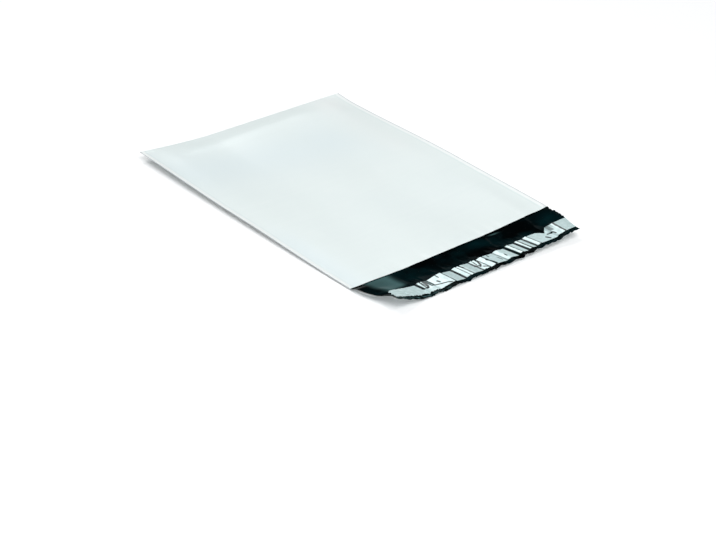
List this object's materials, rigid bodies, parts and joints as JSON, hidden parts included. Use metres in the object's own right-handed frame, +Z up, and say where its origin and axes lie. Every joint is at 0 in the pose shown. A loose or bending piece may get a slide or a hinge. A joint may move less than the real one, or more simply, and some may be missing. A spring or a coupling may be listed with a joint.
{
  "type": "poly mailer bag",
  "caption": "Flat empty plastic film mailing bag, white outside and black inside, folded at the bottom and welded at the sides, its open flap holding a liner-covered adhesive band.",
  "frame": {"origin": "middle of the underside of the bounding box, on the surface that the bag lies on", "axes": "+X across the bag, +Y along the bag from the flap to the bottom fold, +Z up out of the front panel"},
  "size_m": [0.229, 0.3554, 0.0118],
  "materials": {
    "film": "satin white film outside, glossy black film inside",
    "adhesive": "tacky hot-melt, amber",
    "liner": "glossy silvery release film, creased"
  },
  "bodies": {
    "root": {"bag_film": "film", "adhesive_strip": "adhesive", "release_liner": "liner"}
  },
  "joints": []
}
